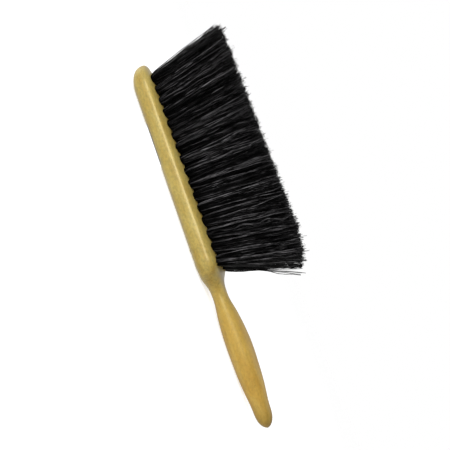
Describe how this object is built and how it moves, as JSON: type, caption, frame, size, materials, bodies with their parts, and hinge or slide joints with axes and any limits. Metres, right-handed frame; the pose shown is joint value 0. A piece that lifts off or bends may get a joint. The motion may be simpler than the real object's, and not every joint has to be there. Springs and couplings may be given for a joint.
{
  "type": "neck duster brush",
  "caption": "Long brush with a moulded block and waisted handle in one piece, and fanned rows of soft bristle tufts for sweeping cut hair off the neck.",
  "frame": {"origin": "on the flat back of the block, at the middle of the block's length and width", "axes": "+X along the brush towards the handle, +Y across the block, +Z out of the bristle face towards the bristle tips"},
  "size_m": [0.3348, 0.065, 0.0904],
  "materials": {
    "handle": "satin moulded tan with faint lengthwise streaks",
    "bristle": "glossy black bristle",
    "anchor_wire": "flat drawn wire",
    "label": "blank white label"
  },
  "bodies": {
    "root": {"handle_block": "handle", "bristle_station_01": "bristle", "bristle_station_02": "bristle", "bristle_station_03": "bristle", "bristle_station_04": "bristle", "bristle_station_05": "bristle", "bristle_station_06": "bristle", "bristle_station_07": "bristle", "bristle_station_08": "bristle", "bristle_station_09": "bristle", "bristle_station_10": "bristle", "bristle_station_11": "bristle", "bristle_station_12": "bristle", "bristle_station_13": "bristle", "bristle_station_14": "bristle", "bristle_station_15": "bristle", "bristle_station_16": "bristle", "bristle_station_17": "bristle", "bristle_station_18": "bristle", "bristle_station_19": "bristle", "bristle_station_20": "bristle", "bristle_station_21": "bristle", "bristle_station_22": "bristle", "bristle_station_23": "bristle", "bristle_station_24": "bristle", "bristle_station_25": "bristle", "bristle_station_26": "bristle", "bristle_station_27": "bristle", "bristle_station_28": "bristle", "bristle_station_29": "bristle", "bristle_station_30": "bristle", "bristle_station_31": "bristle", "bristle_station_32": "bristle", "bristle_station_33": "bristle", "tuft_anchors": "anchor_wire", "back_label": "label"}
  },
  "joints": []
}
